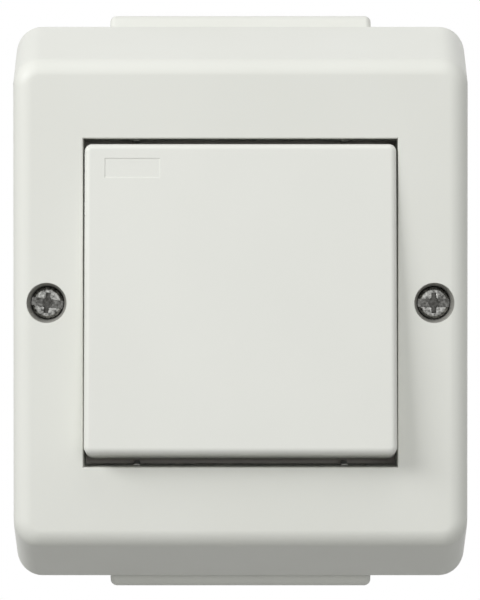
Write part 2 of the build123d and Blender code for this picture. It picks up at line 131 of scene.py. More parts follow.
def length(name, description, millimetres):
    """A length that a user can change."""
    return FloatProperty(
        name=name, description=description, default=millimetres * MM, min=0.0, unit="LENGTH")


def colour(name, description, code):
    """A colour that a user can change."""
    return FloatVectorProperty(
        name=name, description=description, default=linear_colour(code), min=0.0, max=1.0, subtype="COLOR")


def fraction(name, description, part):
    """A share of a whole that a user can change."""
    return FloatProperty(name=name, description=description, default=part, min=0.0, max=1.0, subtype="FACTOR")


def power(name, description, watts):
    """A lamp's power that a user can change."""
    return FloatProperty(name=name, description=description, default=watts, min=0.0, unit="POWER")


def direction(name, description, towards):
    """A direction that a user can change."""
    return FloatVectorProperty(name=name, description=description, default=towards, subtype="DIRECTION")


class CoverSizes(bpy.types.PropertyGroup):
    """Sizes of the cover."""

    corner: length("Corner", "Radius of the four corners", 4.2)
    edge: length("Edge", "Radius of the edge round the front", 3.1)
    slope: length("End slope", "How far each end leans in from rim to front", 6.8)
    draft: length("Side draft", "How far each side leans in from rim to front", 0.5)
    wall: length("Wall", "Thickness of the side walls", 2.4)
    front_wall: length("Front wall", "Thickness of the front", 2.5)
    opening_width: length("Opening width", "Width of the opening for the rocker", 50.6)
    opening_height: length("Opening height", "Height of the opening for the rocker", 52.86)
    opening_edge: length("Opening edge", "Radius of the front edges of the opening", 0.25)
    collar_wall: length("Collar wall", "Thickness of the collar round the rocker", 1.5)
    band: length("Rim band", "Height of the thick band at the rim", 5.5)
    groove_depth: length("Groove depth", "Depth of the gasket groove in the rim", 3.5)
    groove_width: length("Groove width", "Width of the gasket groove", 1.5)
    groove_corner: length("Groove corner", "Corner radius of the gasket groove", 3.15)
    groove_clearance: length("Groove clearance", "Space beside the gasket in its groove", 0.1)
    lip_wall: length("Lip wall", "Thickness of the lip inside the groove", 1.2)
    lip_clearance: length("Lip clearance", "How far the lip stays back from the rim", 0.3)
    rib: length("Rib", "Thickness of the ribs between collar and end wall", 1.2)
    rib_depth: length("Rib depth", "Depth of those ribs", 6.0)
    guide_width: length("Guide rib width", "Width of the small ribs in the opening", 1.0)
    guide_depth: length("Guide rib depth", "How far those ribs stand into the opening", 0.5)
    guide_spacing: length("Guide rib spacing", "Distance between those ribs", 33.8)
    guide_drop: length("Guide rib drop", "How far those ribs stay behind the front", 6.0)
    guide_lead: length("Guide rib lead-in", "How far those ribs slope back at their front ends", 0.32)


class WellSizes(bpy.types.PropertyGroup):
    """Sizes of the screw wells, the screws and their washers."""

    radius: length("Well radius", "Radius of a screw well at the front", 3.25)
    depth: length("Well depth", "Depth of a screw well", 5.0)
    floor_radius: length("Well floor radius", "Radius of a screw well at its floor", 2.68)
    mouth: length("Well mouth", "Depth of the well's widening mouth", 3.2)
    edge: length("Well edge", "Radius of a screw well's front edge", 0.08)
    wall: length("Well wall", "Wall round a screw well", 1.2)
    floor: length("Well floor", "Floor under a screw well", 1.5)
    hole: length("Screw hole radius", "Radius of the hole for the shank", 1.6)
    boss_wall: length("Boss wall", "Wall round the screw hole", 1.4)
    head: length("Head radius", "Radius of the screw head", 2.58)
    head_edge: length("Head edge", "Radius of the head's outer edge", 0.45)
    dome: length("Dome", "How far the middle of the head stands above its edge", 0.35)
    shank: length("Shank radius", "Radius of the screw's shank", 1.5)
    tip: length("Tip chamfer", "Chamfer at the tip of the shank", 0.375)
    slot: length("Slot width", "Width of the long slot", 1.3)
    slot_depth: length("Slot depth", "Depth of the long slot", 1.0)
    cross: length("Cross width", "Width of the short slot", 0.73)
    cross_length: length("Cross length", "Length of the short slot", 3.3)
    cross_depth: length("Cross depth", "Depth of the short slot", 1.3)
    socket: length("Socket radius", "Radius of the round middle of the drive, at the top", 0.9286)
    socket_floor: length("Socket floor radius", "Radius of that round middle at its floor", 0.8075)
    burr: length("Slot edge", "Radius of the worn edges of the slots", 0.07)
    washer_edge: length("Washer edge", "Radius of the washers' edges", 0.18)
    # Painted shade inside the screw wells: it starts at one depth and grows deeper in
    well_shade_start: length("Dust start", "Depth at which the dust in a well starts", 0.05)
    well_shade_rise: length("Dust rise", "How much deeper that dust is full", 0.5)
    well_shade_margin: length("Dust margin", "How far past a well's radius that dust may lie", 0.03)
    # Painted shade at the bottom of the screws' slots: it starts at one depth and grows deeper in
    recess_shade_start: length("Dirt start", "Depth at which the dirt in the slots starts", 0.63)
    recess_shade_rise: length("Dirt rise", "How much deeper that dirt is full", 0.5)
    recess_shade_share: fraction("Dirt share", "Share of dirt where it is full", 0.85)
    left_turn: FloatProperty(
        name="Left screw turn", description="How far the left screw is turned from level",
        default=radians(8), subtype="ANGLE")


class RockerSizes(bpy.types.PropertyGroup):
    """Sizes of the rocker."""

    width: length("Width", "Width of the rocker", 50.1)
    height: length("Height", "Height of the rocker", 50.3)
    corner: length("Corner", "Radius of the corners", 1.2)
    edge: length("Edge", "Radius of the front edge", 1.0)
    plate: length("Plate", "Thickness of the face", 2.0)
    skirt: length("Skirt", "Depth of the sides", 8.7)
    skirt_wall: length("Skirt wall", "Thickness of the sides", 1.6)
    lower_draft: length("Lower draft", "How far the lower side leans in towards the face", 0.45)
    pivot_depth: length("Pivot depth", "Distance from the face to the pivot", 6.7)
    socket_width: length("Socket width", "Inner width of the socket for the axle piece", 16.2)
    socket_height: length("Socket height", "Inner height of that socket", 10.2)
    socket_depth: length("Socket depth", "Depth of that socket", 2.6)
    socket_wall: length("Socket wall", "Wall of that socket, and of the ribs", 1.2)
    rib_depth: length("Rib depth", "Depth of the ribs behind the face", 2.4)
    field_width: length("Field width", "Width of the plain sunk field", 8.9)
    field_height: length("Field height", "Height of the plain sunk field", 3.2)
    field_depth: length("Field depth", "Depth of the plain sunk field", 0.1)
    field_inset_x: length("Field inset", "Distance of the field's middle from the left edge", 7.7)
    field_inset_z: length("Field drop", "Distance of the field's middle from the top edge", 3.95)


class BoxSizes(bpy.types.PropertyGroup):
    """Sizes of the box behind the cover and of its cable entries."""

    wall: length("Wall", "Thickness of the walls", 2.4)
    floor: length("Floor", "Thickness of the floor", 2.5)
    corner: length("Corner", "Radius of the upright corners", 4.0)
    draft: length("Draft", "How far the walls lean in towards the wall", 0.5)
    tongue: length("Tongue height", "Height of the tongue on the rim", 2.0)
    tongue_step: length("Tongue step", "Distance from the outside to the tongue", 1.1)
    tongue_wall: length("Tongue wall", "Thickness of the tongue", 1.0)
    tab_width: length("Tab width", "Width of the cable-entry tabs", 43.4)
    tab_back: length("Tab back", "Distance of the tabs from the wall", 3.0)
    tab_front: length("Tab drop", "Distance of the tabs from the rim", 0.8)
    tab_reach: length("Tab reach", "How far the tabs stand out of the box", 3.95)
    tab_edge: length("Tab edge", "Radius of the tabs' edges", 1.0)
    tab_slope: length("Tab slope", "Height of the leaning front of a tab", 3.0)
    tab_lean: length("Tab lean", "How far that front leans back", 2.1)
    land: length("Back land", "Width of the raised rim at the back", 5.0)
    recess: length("Back recess", "Depth of the hollow at the back", 0.8)
    knockout: length("Knock-out radius", "Radius of the thin round knock-out", 10.0)
    knockout_groove: length("Knock-out groove", "Width and depth of the groove round it", 0.8)
    fixing_wall: length("Fixing wall", "Wall round a fixing hole", 2.2)
    fixing_height: length("Fixing height", "Height of the boss at a fixing hole", 2.0)
    pillar: length("Pillar radius", "Radius of the screw pillars", 3.2)
    pilot: length("Pilot radius", "Radius of the holes in the pillars", 1.55)
    pilot_depth: length("Pilot depth", "Depth of the holes in the pillars", 12.0)
    insert_pillar: length("Insert pillar place", "Distance of the insert's pillars from the middle", 31.48)
    entry: length("Entry radius", "Radius of a cable entry", 8.25)
    entry_spacing: length("Entry spacing", "Distance between two cable entries", 22.0)
    grommet_wall: length("Grommet wall", "Wall of a grommet's neck", 1.4)
    grommet_flange: length("Grommet flange", "Height of a grommet's flange", 1.5)
    grommet_skin: length("Grommet skin", "Thickness of a grommet's closed end", 1.0)
    grommet_button: length("Grommet button", "Radius of the button on the closed end", 3.0)
    grommet_step: length("Grommet step", "Height of that button", 0.5)
    grommet_edge: length("Grommet edge", "Radius of a grommet's edges", 0.35)
    grommet_clearance: length("Grommet clearance", "Space between a grommet's neck and its hole", 0.05)
    tower_width: length("Tower width", "Width of the bearing tower that the seal goes round", 32.0)
    tower_height: length("Tower height", "Height of that tower's outline", 18.0)
    seal_lip: length("Seal lip", "Thickness of the seal's lip", 1.2)
    seal_lip_height: length("Seal lip height", "Height of that lip above the flange", 2.0)
    seal_edge: length("Seal edge", "Radius of the lip's front edges", 0.3)


class SpringSizes(bpy.types.PropertyGroup):
    """Sizes of the plunger's spring."""

    radius: length("Coil radius", "Radius of the coil to the middle of its wire", 1.5)
    wire: length("Wire radius", "Radius of the wire", 0.2)
    rise: length("Coil rise", "Length of the coil between the middles of its ends", 5.5)
    turns: IntProperty(name="Turns", description="Number of turns", default=4, subtype="UNSIGNED")


class SwitchColours(bpy.types.PropertyGroup):
    """Colours of the finishes."""

    moulding: colour("Cover and box", "White of the cover and the box", "E4E5DF")
    moulding_deep: colour("Cover and box, deeper", "The slightly deeper white that clouds it", "DFE0D9")
    rocker: colour("Rocker", "White of the rocker", "E4E5DF")
    rocker_deep: colour("Rocker, deeper", "The slightly deeper white that clouds it", "DFE0DA")
    entry: colour("Cable entries", "Pale grey of the soft entries", "CFD0CB")
    rubber: colour("Washers", "Dark grey of the sealing washers", "3A3936")
    seal: colour("Rocker seal", "Pale grey of the seal behind the rocker", "CBC8C0")
    # Painted shade laid into the screw wells
    well_shade: colour("Dust", "Grey of the dust in the screw wells", "A3A29C")
    # Painted shade laid into the bottom of the screws' slots
    recess_shade: colour("Dirt", "Dark grey of the dirt in the slots", "3B3A37")
    zinc: colour("Screws", "Zinc plate on the screws", "C6C6C2")
    # Partly dulled plate, partly painted dark reflection on the screw heads
    zinc_dull_and_dark_reflection: colour("Screws, dull", "Duller patches of the zinc plate", "565653")


class StageSettings(bpy.types.PropertyGroup):
    """Camera, floor and light."""

    distance: length("Camera distance", "Distance of the camera from the cover's front", 560.0)
    rise: length("Camera rise", "Height of the camera above the middle", 8.8)
    aim: length("Aim height", "Height of the point that the camera looks at", 0.49)
    aside: length("Camera aside", "How far left of the middle the camera stands", 0.08)
    view_height: length("View height", "Height of the picture at the cover's front", 96.46)
    floor_drop: length("Floor drop", "Distance of the floor below the middle", 110.0)
    floor_radius: length("Floor radius", "Radius of the floor", 500.0)
    light_distance: length("Light distance", "Distance of the lights above and behind", 750.0)
    key_distance: length("Key distance", "Distance of the main light", 950.0)
    fill_distance: length("Fill distance", "Distance of the light behind the camera", 1200.0)
    key_width: length("Key width", "Width of the main light", 532.0)
    key_height: length("Key height", "Height of the main light", 320.0)
    soft_size: length("Soft size", "Width of the other lights", 600.0)
    key_direction: direction("Key direction", "Where the main light stands", (-0.73, -0.56, 0.47))
    fill_direction: direction("Fill direction", "Where the light in front stands", (0.2, -1.0, 0.25))
    top_direction: direction("Top direction", "Where the light above stands", (0.15, -0.25, 0.95))
    back_direction: direction("Back direction", "Where the light behind stands", (0.3, 0.9, 0.35))
    key_power: power("Key power", "Power of the main light", 5.5)
    fill_power: power("Fill power", "Power of the light in front", 4.65)
    top_power: power("Top power", "Power of the light above", 1.2)
    back_power: power("Back power", "Power of the light behind", 2.2)
    ambient: fraction("Ambient", "Strength of the light from all round", 0.25)
    floor: colour("Floor", "Pale grey of the floor", "D8D8D6")
    floor_deep: colour("Floor, deeper", "The slightly deeper grey that clouds it", "D4D4D2")
    floor_bounce: colour("Floor bounce", "Grey of the light that the floor throws back", "989896")
    paleness: fraction("Paleness", "Share of plain white in the floor that the camera sees", 0.55)
    fade_start: fraction("Fade start", "Share of the floor's radius at which it starts to fade", 0.3)
    fade_end: fraction("Fade end", "Share of the floor's radius at which it is plain white", 0.9)


def block(low, high):
    """Box between two corners."""
    shape = bmesh.new()
    low, high = Vector(low), Vector(high)
    stretch = Matrix.Diagonal((*(high - low), 1.0))
    bmesh.ops.create_cube(shape, size=1.0, matrix=Matrix.Translation((low + high) / 2) @ stretch)
    return shape


def slab(half_x, half_z, back, front, corner=0.0):
    """Box about the middle line between two levels, with rounded corners."""
    shape = block((-half_x, front, -half_z), (half_x, back, half_z))
    if corner > 0:
        round_edges(shape, upright_edges(shape, back, front), corner, SMALL_EDGE_STEPS)
    return shape


def tapered_slab(back_half, front_half, back, front):
    """Box about the middle line whose half sizes change from its back to its front."""
    shape = slab(back_half[0], back_half[1], back, front)
    middle = (back + front) / 2
    verts = [vert for vert in shape.verts if vert.co.y < middle]
    change = (front_half[0] / back_half[0], 1.0, front_half[1] / back_half[1])
    bmesh.ops.scale(shape, vec=change, verts=verts)
    return shape


def rod(radius, start, end, steps=SMALL_TURN_STEPS, end_radius=None):
    """Round bar from one point to another, tapered if its end has its own radius."""
    shape = bmesh.new()
    start, end = Vector(start), Vector(end)
    along = end - start
    turn = along.to_track_quat("Z", "Y").to_matrix().to_4x4()
    far_radius = radius if end_radius is None else end_radius
    bmesh.ops.create_cone(
        shape, cap_ends=True, segments=steps, radius1=radius, radius2=far_radius, depth=along.length,
        matrix=Matrix.Translation((start + end) / 2) @ turn)
    return shape


def post(radius, back, front, x, z=0.0):
    """Round bar that stands out from the wall."""
    return rod(radius, (x, back, z), (x, front, z))


def turned(profile, steps=SMALL_TURN_STEPS):
    """Shape turned about the y axis from (radius, y) points that start and end on the axis."""
    shape = bmesh.new()
    verts = [shape.verts.new((radius, y, 0.0)) for radius, y in profile]
    edges = [shape.edges.new(pair) for pair in zip(verts, verts[1:])]
    bmesh.ops.spin(
        shape, geom=verts + edges, cent=(0, 0, 0), axis=(0, 1, 0), angle=2 * pi, steps=steps,
        use_merge=True)
    bmesh.ops.remove_doubles(shape, verts=shape.verts, dist=TURNED_MERGE)
    bmesh.ops.recalc_face_normals(shape, faces=shape.faces)
    return shape


def lies_at(edge, y):
    """Whether both ends of an edge lie at one level."""
    return all(abs(vert.co.y - y) < LEVEL_TOLERANCE for vert in edge.verts)


def edges_at(edges, y):
    """Those of some edges that lie at one level."""
    return [edge for edge in edges if lies_at(edge, y)]


def upright_edges(shape, back, front):
    """Edges that lie neither in the back of a shape nor in its front."""
    return [edge for edge in shape.edges if not lies_at(edge, back) and not lies_at(edge, front)]


def sharp_edges(shape):
    """Edges where the surface turns sharply."""
    return [edge for edge in shape.edges if edge.calc_face_angle(0.0) > SHARP_TURN]


def round_edges(shape, edges, radius, steps):
    """Rounds edges by a bevel that reaches a radius to both sides."""
    bmesh.ops.bevel(
        shape, geom=list(edges), offset=radius, offset_type="OFFSET", segments=steps, profile=0.5,
        affect="EDGES", material=-1)


def evenly_rounded(shape, level, radius):
    """The same shape with the edges at one level rounded alike: less is cut back where they turn less."""
    weight = shape.edges.layers.float.new("bevel_weight_edge")
    edges = edges_at(shape.edges, level)
    full_turn = max(edge.calc_face_angle() for edge in edges)
    for edge in edges:
        edge[weight] = tan(edge.calc_face_angle() / 2) / tan(full_turn / 2)
    work = temporary_object(shape)
    change = work.modifiers.new("Bevel", "BEVEL")
    change.limit_method = "WEIGHT"
    change.width = radius * tan(full_turn / 2)
    change.segments = EDGE_STEPS
    return taken_from(work)


def cut_off(shape, point, outwards):
    """Cuts away what lies outside a plane and closes the cut."""
    geometry = [*shape.verts, *shape.edges, *shape.faces]
    halved = bmesh.ops.bisect_plane(
        shape, geom=geometry, plane_co=point, plane_no=outwards, clear_outer=True)
    rim = [part for part in halved["geom_cut"] if isinstance(part, bmesh.types.BMEdge)]
    bmesh.ops.holes_fill(shape, edges=rim)


def place(shape, x=0.0, y=0.0, z=0.0):
    """The same shape, moved."""
    bmesh.ops.translate(shape, vec=(x, y, z), verts=shape.verts)
    return shape


def temporary_object(shape):
    """An object that holds a shape while it is being carved."""
    mesh = bpy.data.meshes.new("carving")
    shape.to_mesh(mesh)
    shape.free()
    thing = bpy.data.objects.new("carving", mesh)
    bpy.context.scene.collection.objects.link(thing)
    return thing


def taken_from(work):
    """The finished shape of an object that is then deleted."""
    depsgraph = bpy.context.evaluated_depsgraph_get()
    mesh = bpy.data.meshes.new_from_object(work.evaluated_get(depsgraph))
    shape = bmesh.new()
    shape.from_mesh(mesh)
    bpy.data.meshes.remove(mesh)
    bpy.data.meshes.remove(work.data)
    if not shape.faces:
        raise RuntimeError("Carving left nothing")
    return shape


def added(shape):
    """A step of carving that adds a shape."""
    return "UNION", shape


def cut(shape):
    """A step of carving that cuts a shape away."""
    return "DIFFERENCE", shape


def carve(start, steps):
    """One closed shape, made by adding shapes to a start shape and cutting others from it, in order."""
    work = temporary_object(start)
    tools = []
    for operation, shape in steps:
        tool = temporary_object(shape)
        tools.append(tool)
        change = work.modifiers.new(operation, "BOOLEAN")
        change.operation = operation
        change.solver = "EXACT"
        change.object = tool
    result = taken_from(work)
    for tool in tools:
        bpy.data.meshes.remove(tool.data)
    bmesh.ops.remove_doubles(result, verts=result.verts, dist=CARVED_MERGE)
    bmesh.ops.dissolve_degenerate(result, edges=result.edges, dist=CARVED_MERGE)
    return result


def joined(shapes):
    """Several separate shapes in one."""
    whole = bmesh.new()
    for shape in shapes:
        mesh = bpy.data.meshes.new("joined")
        shape.to_mesh(mesh)
        shape.free()
        whole.from_mesh(mesh)
        bpy.data.meshes.remove(mesh)
    return whole


def made_piece(name, shape, slot, material, *nodes):
    """Makes a shape into a finished piece that stands for its construction nodes."""
    mesh = bpy.data.meshes.new(name)
    shape.to_mesh(mesh)
    shape.free()
    mesh.shade_smooth()
    mesh.set_sharp_from_angle(angle=SHARP_TURN)
    mesh.materials.append(material)
    piece = bpy.data.objects.new(name, mesh)
    bpy.context.scene.collection.objects.link(piece)
    normals = piece.modifiers.new("Weighted Normal", "WEIGHTED_NORMAL")
    normals.keep_sharp = True
    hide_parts(*nodes)
    return piece


def finish_piece(name, shape, body, slot, material, *nodes):
    """The same for a piece that rides on one body."""
    piece = made_piece(name, shape, slot, material, *nodes)
    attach(piece, body)


def add_node(tree, kind, links=None, **settings):
    """Adds a node with its settings. An input that is given a socket is linked, and any other is set."""
    made = tree.nodes.new(kind)
    for key, value in settings.items():
        setattr(made, key, value)
    for key, value in (links or {}).items():
        if isinstance(value, bpy.types.NodeSocket):
            tree.links.new(value, made.inputs[key])
        else:
            made.inputs[key].default_value = value
    return made


def new_material(name):
    """An empty material, its tree, its surface shader and the object coordinates."""
    material = bpy.data.materials.new(name)
    material.use_nodes = True
    tree = material.node_tree
    tree.nodes.clear()
    shader = add_node(tree, "ShaderNodeBsdfPrincipled")
    add_node(tree, "ShaderNodeOutputMaterial", {"Surface": shader.outputs["BSDF"]})
    coordinates = add_node(tree, "ShaderNodeTexCoord").outputs["Object"]
    return material, tree, shader, coordinates


def per_metre(millimetres):
    """Texture scale whose pattern repeats at about a real size."""
    return 1 / (millimetres * MM)


def opaque(rgb):
    """A colour as a shader socket takes it."""
    return (*rgb, 1.0)


def shaded(rgb, brightness):
    """A colour made darker or lighter."""
    return [brightness * part for part in rgb]


def mottle(tree, coordinates, size, first, second, spread=0.5):
    """A cloudy mix of two colours, which part more clearly the smaller the spread is."""
    cloud = add_node(
        tree, "ShaderNodeTexNoise", {"Vector": coordinates, "Scale": per_metre(size), "Detail": 2.0})
    share = add_node(
        tree, "ShaderNodeMapRange",
        {"Value": cloud.outputs["Fac"], "From Min": 0.5 - spread, "From Max": 0.5 + spread})
    mix = add_node(
        tree, "ShaderNodeMix", {"Factor": share.outputs["Result"], "A": opaque(first), "B": opaque(second)},
        data_type="RGBA")
    return mix.outputs["Result"]


def uneven(tree, coordinates, size, low, high):
    """A value that wanders between two limits."""
    noise = add_node(
        tree, "ShaderNodeTexNoise", {"Vector": coordinates, "Scale": per_metre(size), "Detail": 3.0})
    spread = add_node(
        tree, "ShaderNodeMapRange", {"Value": noise.outputs["Fac"], "To Min": low, "To Max": high})
    return spread.outputs["Result"]


def grain(tree, coordinates, size, height, strength):
    """A fine bumpy surface."""
    noise = add_node(
        tree, "ShaderNodeTexNoise", {"Vector": coordinates, "Scale": per_metre(size), "Detail": 2.0})
    bump = add_node(
        tree, "ShaderNodeBump",
        {"Height": noise.outputs["Fac"], "Distance": height * MM, "Strength": strength})
    return bump.outputs["Normal"]


def moulded_plastic(name, first, second, rough, grain_size, grain_height):
    """A moulded thermoplastic: an even body colour and a satin skin that copies the mould's surface."""
    material, tree, shader, coordinates = new_material(name)
    body = mottle(tree, coordinates, size=22.0, first=first, second=second)
    skin = uneven(tree, coordinates, size=6.0, low=rough - SKIN_SPREAD, high=rough + SKIN_SPREAD)
    relief = grain(tree, coordinates, grain_size, grain_height, strength=0.25)
    tree.links.new(body, shader.inputs["Base Color"])
    tree.links.new(skin, shader.inputs["Roughness"])
    tree.links.new(relief, shader.inputs["Normal"])
    shader.inputs["IOR"].default_value = 1.53
    shader.inputs["Specular IOR Level"].default_value = 0.35
    return material


def white_moulding(colours):
    """ABS from a spark-eroded mould: warm white, and a matt skin that spreads every highlight."""
    # The real grain is about 0.1 mm and is drawn coarser, so that it shows
    return moulded_plastic(
        "ABS, white, eroded", colours.moulding, colours.moulding_deep, rough=0.46, grain_size=0.35,
        grain_height=0.012)


def white_rocker(colours):
    """ABS from a polished mould: the same white with a smoother skin and a clearer edge highlight."""
    return moulded_plastic(
        "ABS, white, satin", colours.rocker, colours.rocker_deep, rough=0.38, grain_size=0.5,
        grain_height=0.006)


def soft_entry(colours):
    """Thermoplastic elastomer: pale grey, dull, with a faint bloom."""
    bloom = shaded(colours.entry, brightness=0.9)
    return moulded_plastic(
        "elastomer, pale grey", colours.entry, bloom, rough=0.62, grain_size=0.6, grain_height=0.02)


def grey_seal(colours):
    """Silicone rubber: pale grey and dull, so the slit round the rocker stays dark but not black."""
    deeper = shaded(colours.seal, brightness=0.88)
    return moulded_plastic(
        "silicone rubber, pale grey", colours.seal, deeper, rough=0.6, grain_size=0.6, grain_height=0.015)


def dark_seal(colours):
    """EPDM rubber: dark grey, dull, with pale dust in its pores."""
    dusty = shaded(colours.rubber, brightness=1.5)
    return moulded_plastic(
        "EPDM rubber, dark grey", colours.rubber, dusty, rough=0.68, grain_size=0.4, grain_height=0.02)


def plated_metal(name, first, second, rough, scratch):
    """Plated or drawn metal: a clear reflection, broken by clouds in the plate and by fine scratches."""
    material, tree, shader, coordinates = new_material(name)
    plate = mottle(tree, coordinates, size=0.45, first=first, second=second, spread=0.18)
    polish = uneven(tree, coordinates, size=0.5, low=rough - PLATE_SMOOTHER, high=rough + PLATE_ROUGHER)
    stretch = add_node(tree, "ShaderNodeMapping", {"Vector": coordinates, "Scale": SCRATCH_STRETCH})
    scratches = grain(tree, stretch.outputs["Vector"], scratch, height=0.006, strength=0.35)
    tree.links.new(plate, shader.inputs["Base Color"])
    tree.links.new(polish, shader.inputs["Roughness"])
    tree.links.new(scratches, shader.inputs["Normal"])
    shader.inputs["Metallic"].default_value = 1.0
    return material


def coordinate_parts(material):
    """The object coordinates of a material, one by one."""
    tree = material.node_tree
    coordinates = next(node for node in tree.nodes if node.type == "TEX_COORD").outputs["Object"]
    return add_node(tree, "ShaderNodeSeparateXYZ", {"Vector": coordinates}).outputs


def growing_with_depth(tree, y, start, rise, full=1.0):
    """A share that is nothing as far as one level and grows behind it."""
    depth = add_node(
        tree, "ShaderNodeMapRange",
        {"Value": y, "From Min": start, "From Max": start + rise, "To Max": full})
    return depth.outputs["Result"]


def paint_shade(material, recess_shade, share):
    """Mixes a colour of painted shade into a material, by a share that its own nodes give."""
    tree = material.node_tree
    shader = next(node for node in tree.nodes if node.type == "BSDF_PRINCIPLED")
    clean = shader.inputs["Base Color"].links[0].from_socket
    mix = add_node(
        tree, "ShaderNodeMix", {"Factor": share, "A": clean, "B": opaque(recess_shade)}, data_type="RGBA")
    tree.links.new(mix.outputs["Result"], shader.inputs["Base Color"])


def shaded_slots(material, sizes, recess_shade):
    """Paints shade into a material at the bottom of the screws' slots, darker with depth."""
    y = coordinate_parts(material)["Y"]
    start = screw_low.y + sizes.recess_shade_start
    paint_shade(material, recess_shade, growing_with_depth(material.node_tree, y, start, sizes.recess_shade_rise, sizes.recess_shade_share))


def shaded_wells(material, sizes, well_shade):
    """Paints shade into a material inside the two screw wells, darker with depth."""
    tree = material.node_tree
    parts = coordinate_parts(material)
    side = add_node(tree, "ShaderNodeMath", {0: parts["X"]}, operation="ABSOLUTE")
    across = add_node(
        tree, "ShaderNodeMath", {0: side.outputs["Value"], 1: well_middle()}, operation="SUBTRACT")
    offset = add_node(tree, "ShaderNodeCombineXYZ", {"X": across.outputs["Value"], "Z": parts["Z"]})
    away = add_node(tree, "ShaderNodeVectorMath", {0: offset.outputs["Vector"]}, operation="LENGTH")
    reach = sizes.radius + sizes.well_shade_margin
    within = add_node(tree, "ShaderNodeMath", {0: away.outputs["Value"], 1: reach}, operation="LESS_THAN")
    # Painted shade: darker the deeper into the well
    depth = growing_with_depth(tree, parts["Y"], cover_low.y + sizes.well_shade_start, sizes.well_shade_rise)
    share = add_node(tree, "ShaderNodeMath", {0: within.outputs["Value"], 1: depth}, operation="MULTIPLY")
    paint_shade(material, well_shade, share.outputs["Value"])


def make_cover(sizes, wells, seal_lip_height):
    """The cover: a block with leaning ends and rounded edges, hollow, with an opening and two wells."""
    depth = cover_high.y - cover_low.y
    rim, front = cover_high.y, cover_low.y

    def half(y):
        """Half the width and half the height of the outside at one level."""
        rise = (rim - y) / depth
        return cover_high.x - sizes.draft * rise, cover_high.z - sizes.slope * rise

    outside = tapered_slab(half(rim), half(front), rim, front)
    round_edges(outside, upright_edges(outside, rim, front), sizes.corner, EDGE_STEPS)
    outside = evenly_rounded(outside, front, sizes.edge)

    # The inside, from the roof down to the rim with its gasket groove
    roof = front + sizes.front_wall
    shelf = rim - sizes.band
    lean = (depth**2 + sizes.slope**2) ** 0.5 / depth
    back_half = (half(shelf)[0] - sizes.wall, half(shelf)[1] - sizes.wall * lean)
    front_half = (half(roof)[0] - sizes.wall, half(roof)[1] - sizes.wall * lean)
    hollow = tapered_slab(back_half, front_half, shelf, roof)
    round_edges(hollow, upright_edges(hollow, shelf, roof), sizes.corner - sizes.wall, SMALL_EDGE_STEPS)
    gasket_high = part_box("cover_gasket")[1]
    groove_x = gasket_high.x + sizes.groove_clearance
    groove_z = gasket_high.z + sizes.groove_clearance
    groove_top = rim - sizes.groove_depth
    lip_x = groove_x - sizes.groove_width
    lip_z = groove_z - sizes.groove_width
    opening_x = sizes.opening_width / 2
    opening_z = sizes.opening_height / 2
    collar_back = seal_low.y + seal_lip_height
    steps = [
        cut(hollow),
        cut(slab(groove_x, groove_z, rim + PAST, groove_top, sizes.groove_corner)),
        added(slab(lip_x, lip_z, rim - sizes.lip_clearance, groove_top - INTO)),
        cut(slab(lip_x - sizes.lip_wall, lip_z - sizes.lip_wall, rim + PAST, shelf - HAIR)),
        added(slab(opening_x + sizes.collar_wall, opening_z + sizes.collar_wall, collar_back,
                   roof - sizes.front_wall / 2)),
    ]
    well_floor = front + wells.depth
    widening = (wells.radius - wells.floor_radius) / wells.mouth
    for side in (-1, 1):
        x = side * well_middle()
        steps.append(added(post(wells.radius + wells.wall, well_floor + wells.floor, roof - INTO, x)))
        steps.append(added(post(wells.hole + wells.boss_wall, rim, well_floor + INTO, x)))
        steps.append(cut(post(wells.hole, rim + PAST, well_floor - PAST, x)))
        well = turned([
            (0.0, well_floor),
            (wells.floor_radius, well_floor),
            (wells.floor_radius, front + wells.mouth),
            (wells.radius + widening * PAST, front - PAST),
            (0.0, front - PAST),
        ])
        steps.append(cut(place(well, x)))
    # The end walls lean out, so a rib that meets one at its deepest point stays inside it further forward
    rib_back = roof + sizes.rib_depth
    rib_z = half(rib_back)[1] - sizes.wall * lean
    for side in (-1, 1):
        x = side * sizes.guide_spacing / 2
        rib = block((x - sizes.rib / 2, roof - INTO, -rib_z), (x + sizes.rib / 2, rib_back, rib_z))
        steps.append(added(rib))
    steps.append(cut(slab(opening_x, opening_z, collar_back + PAST, front - PAST)))
    cover = carve(outside, steps)
    front_edges = edges_at(sharp_edges(cover), front)
    well_edges = [edge for edge in front_edges if abs(edge.verts[0].co.x) > opening_x + PAST]
    opening_edges = [edge for edge in front_edges if edge not in well_edges]
    round_edges(cover, opening_edges, sizes.opening_edge, SMALL_EDGE_STEPS)
    round_edges(cover, well_edges, wells.edge, WORN_EDGE_STEPS)

    guides = []
    for side in (-1, 1):
        for end in (-1, 1):
            x = side * sizes.guide_spacing / 2
            near = end * (opening_z - sizes.guide_depth)
            far = end * (opening_z + sizes.collar_wall / 2)
            guide = block(
                (x - sizes.guide_width / 2, front + sizes.guide_drop, min(near, far)),
                (x + sizes.guide_width / 2, collar_back, max(near, far)))
            # A rib is lower at its front end, as a lead-in for the rocker
            before_back = collar_back - LEVEL_TOLERANCE
            low_end = [vert for vert in guide.verts if vert.co.y < before_back and abs(vert.co.z) < opening_z]
            bmesh.ops.translate(guide, vec=(0, 0, end * sizes.guide_lead), verts=low_end)
            guides.append(added(guide))
    return carve(cover, guides)


def well_middle():
    """Distance of a screw's axis from the middle."""
    return washer_high.x - (washer_high.z - washer_low.z) / 2


